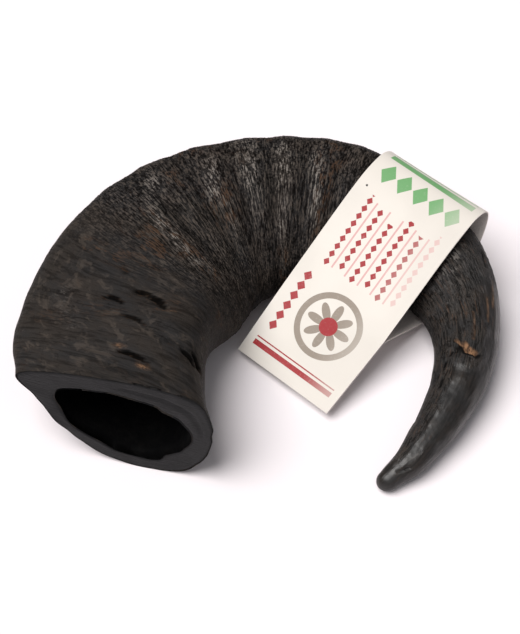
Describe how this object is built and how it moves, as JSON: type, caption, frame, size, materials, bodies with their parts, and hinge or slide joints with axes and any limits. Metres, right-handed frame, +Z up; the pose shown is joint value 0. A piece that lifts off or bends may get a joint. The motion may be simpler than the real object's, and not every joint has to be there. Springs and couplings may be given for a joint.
{
  "type": "buffalo horn dog chew",
  "caption": "Curled hollow water buffalo horn dog chew lying on its side, sawn open at the base and solid at the blunt tip, with a folded card label looped round it.",
  "frame": {"origin": "middle of the bounding box's bottom face, on the surface that the horn lies on", "axes": "+Z up as the horn lies on its side, +X across the curl from the hollow base towards the tip's side, +Y away from the open side of the curl"},
  "size_m": [0.2054, 0.1652, 0.0546],
  "materials": {
    "horn_keratin": "dark brown-black fibrous horn, rough over the curl, smoother towards the base, polished at the tip",
    "label_card": null
  },
  "bodies": {
    "root": {"horn": "horn_keratin", "card_label": "label_card"}
  },
  "joints": []
}
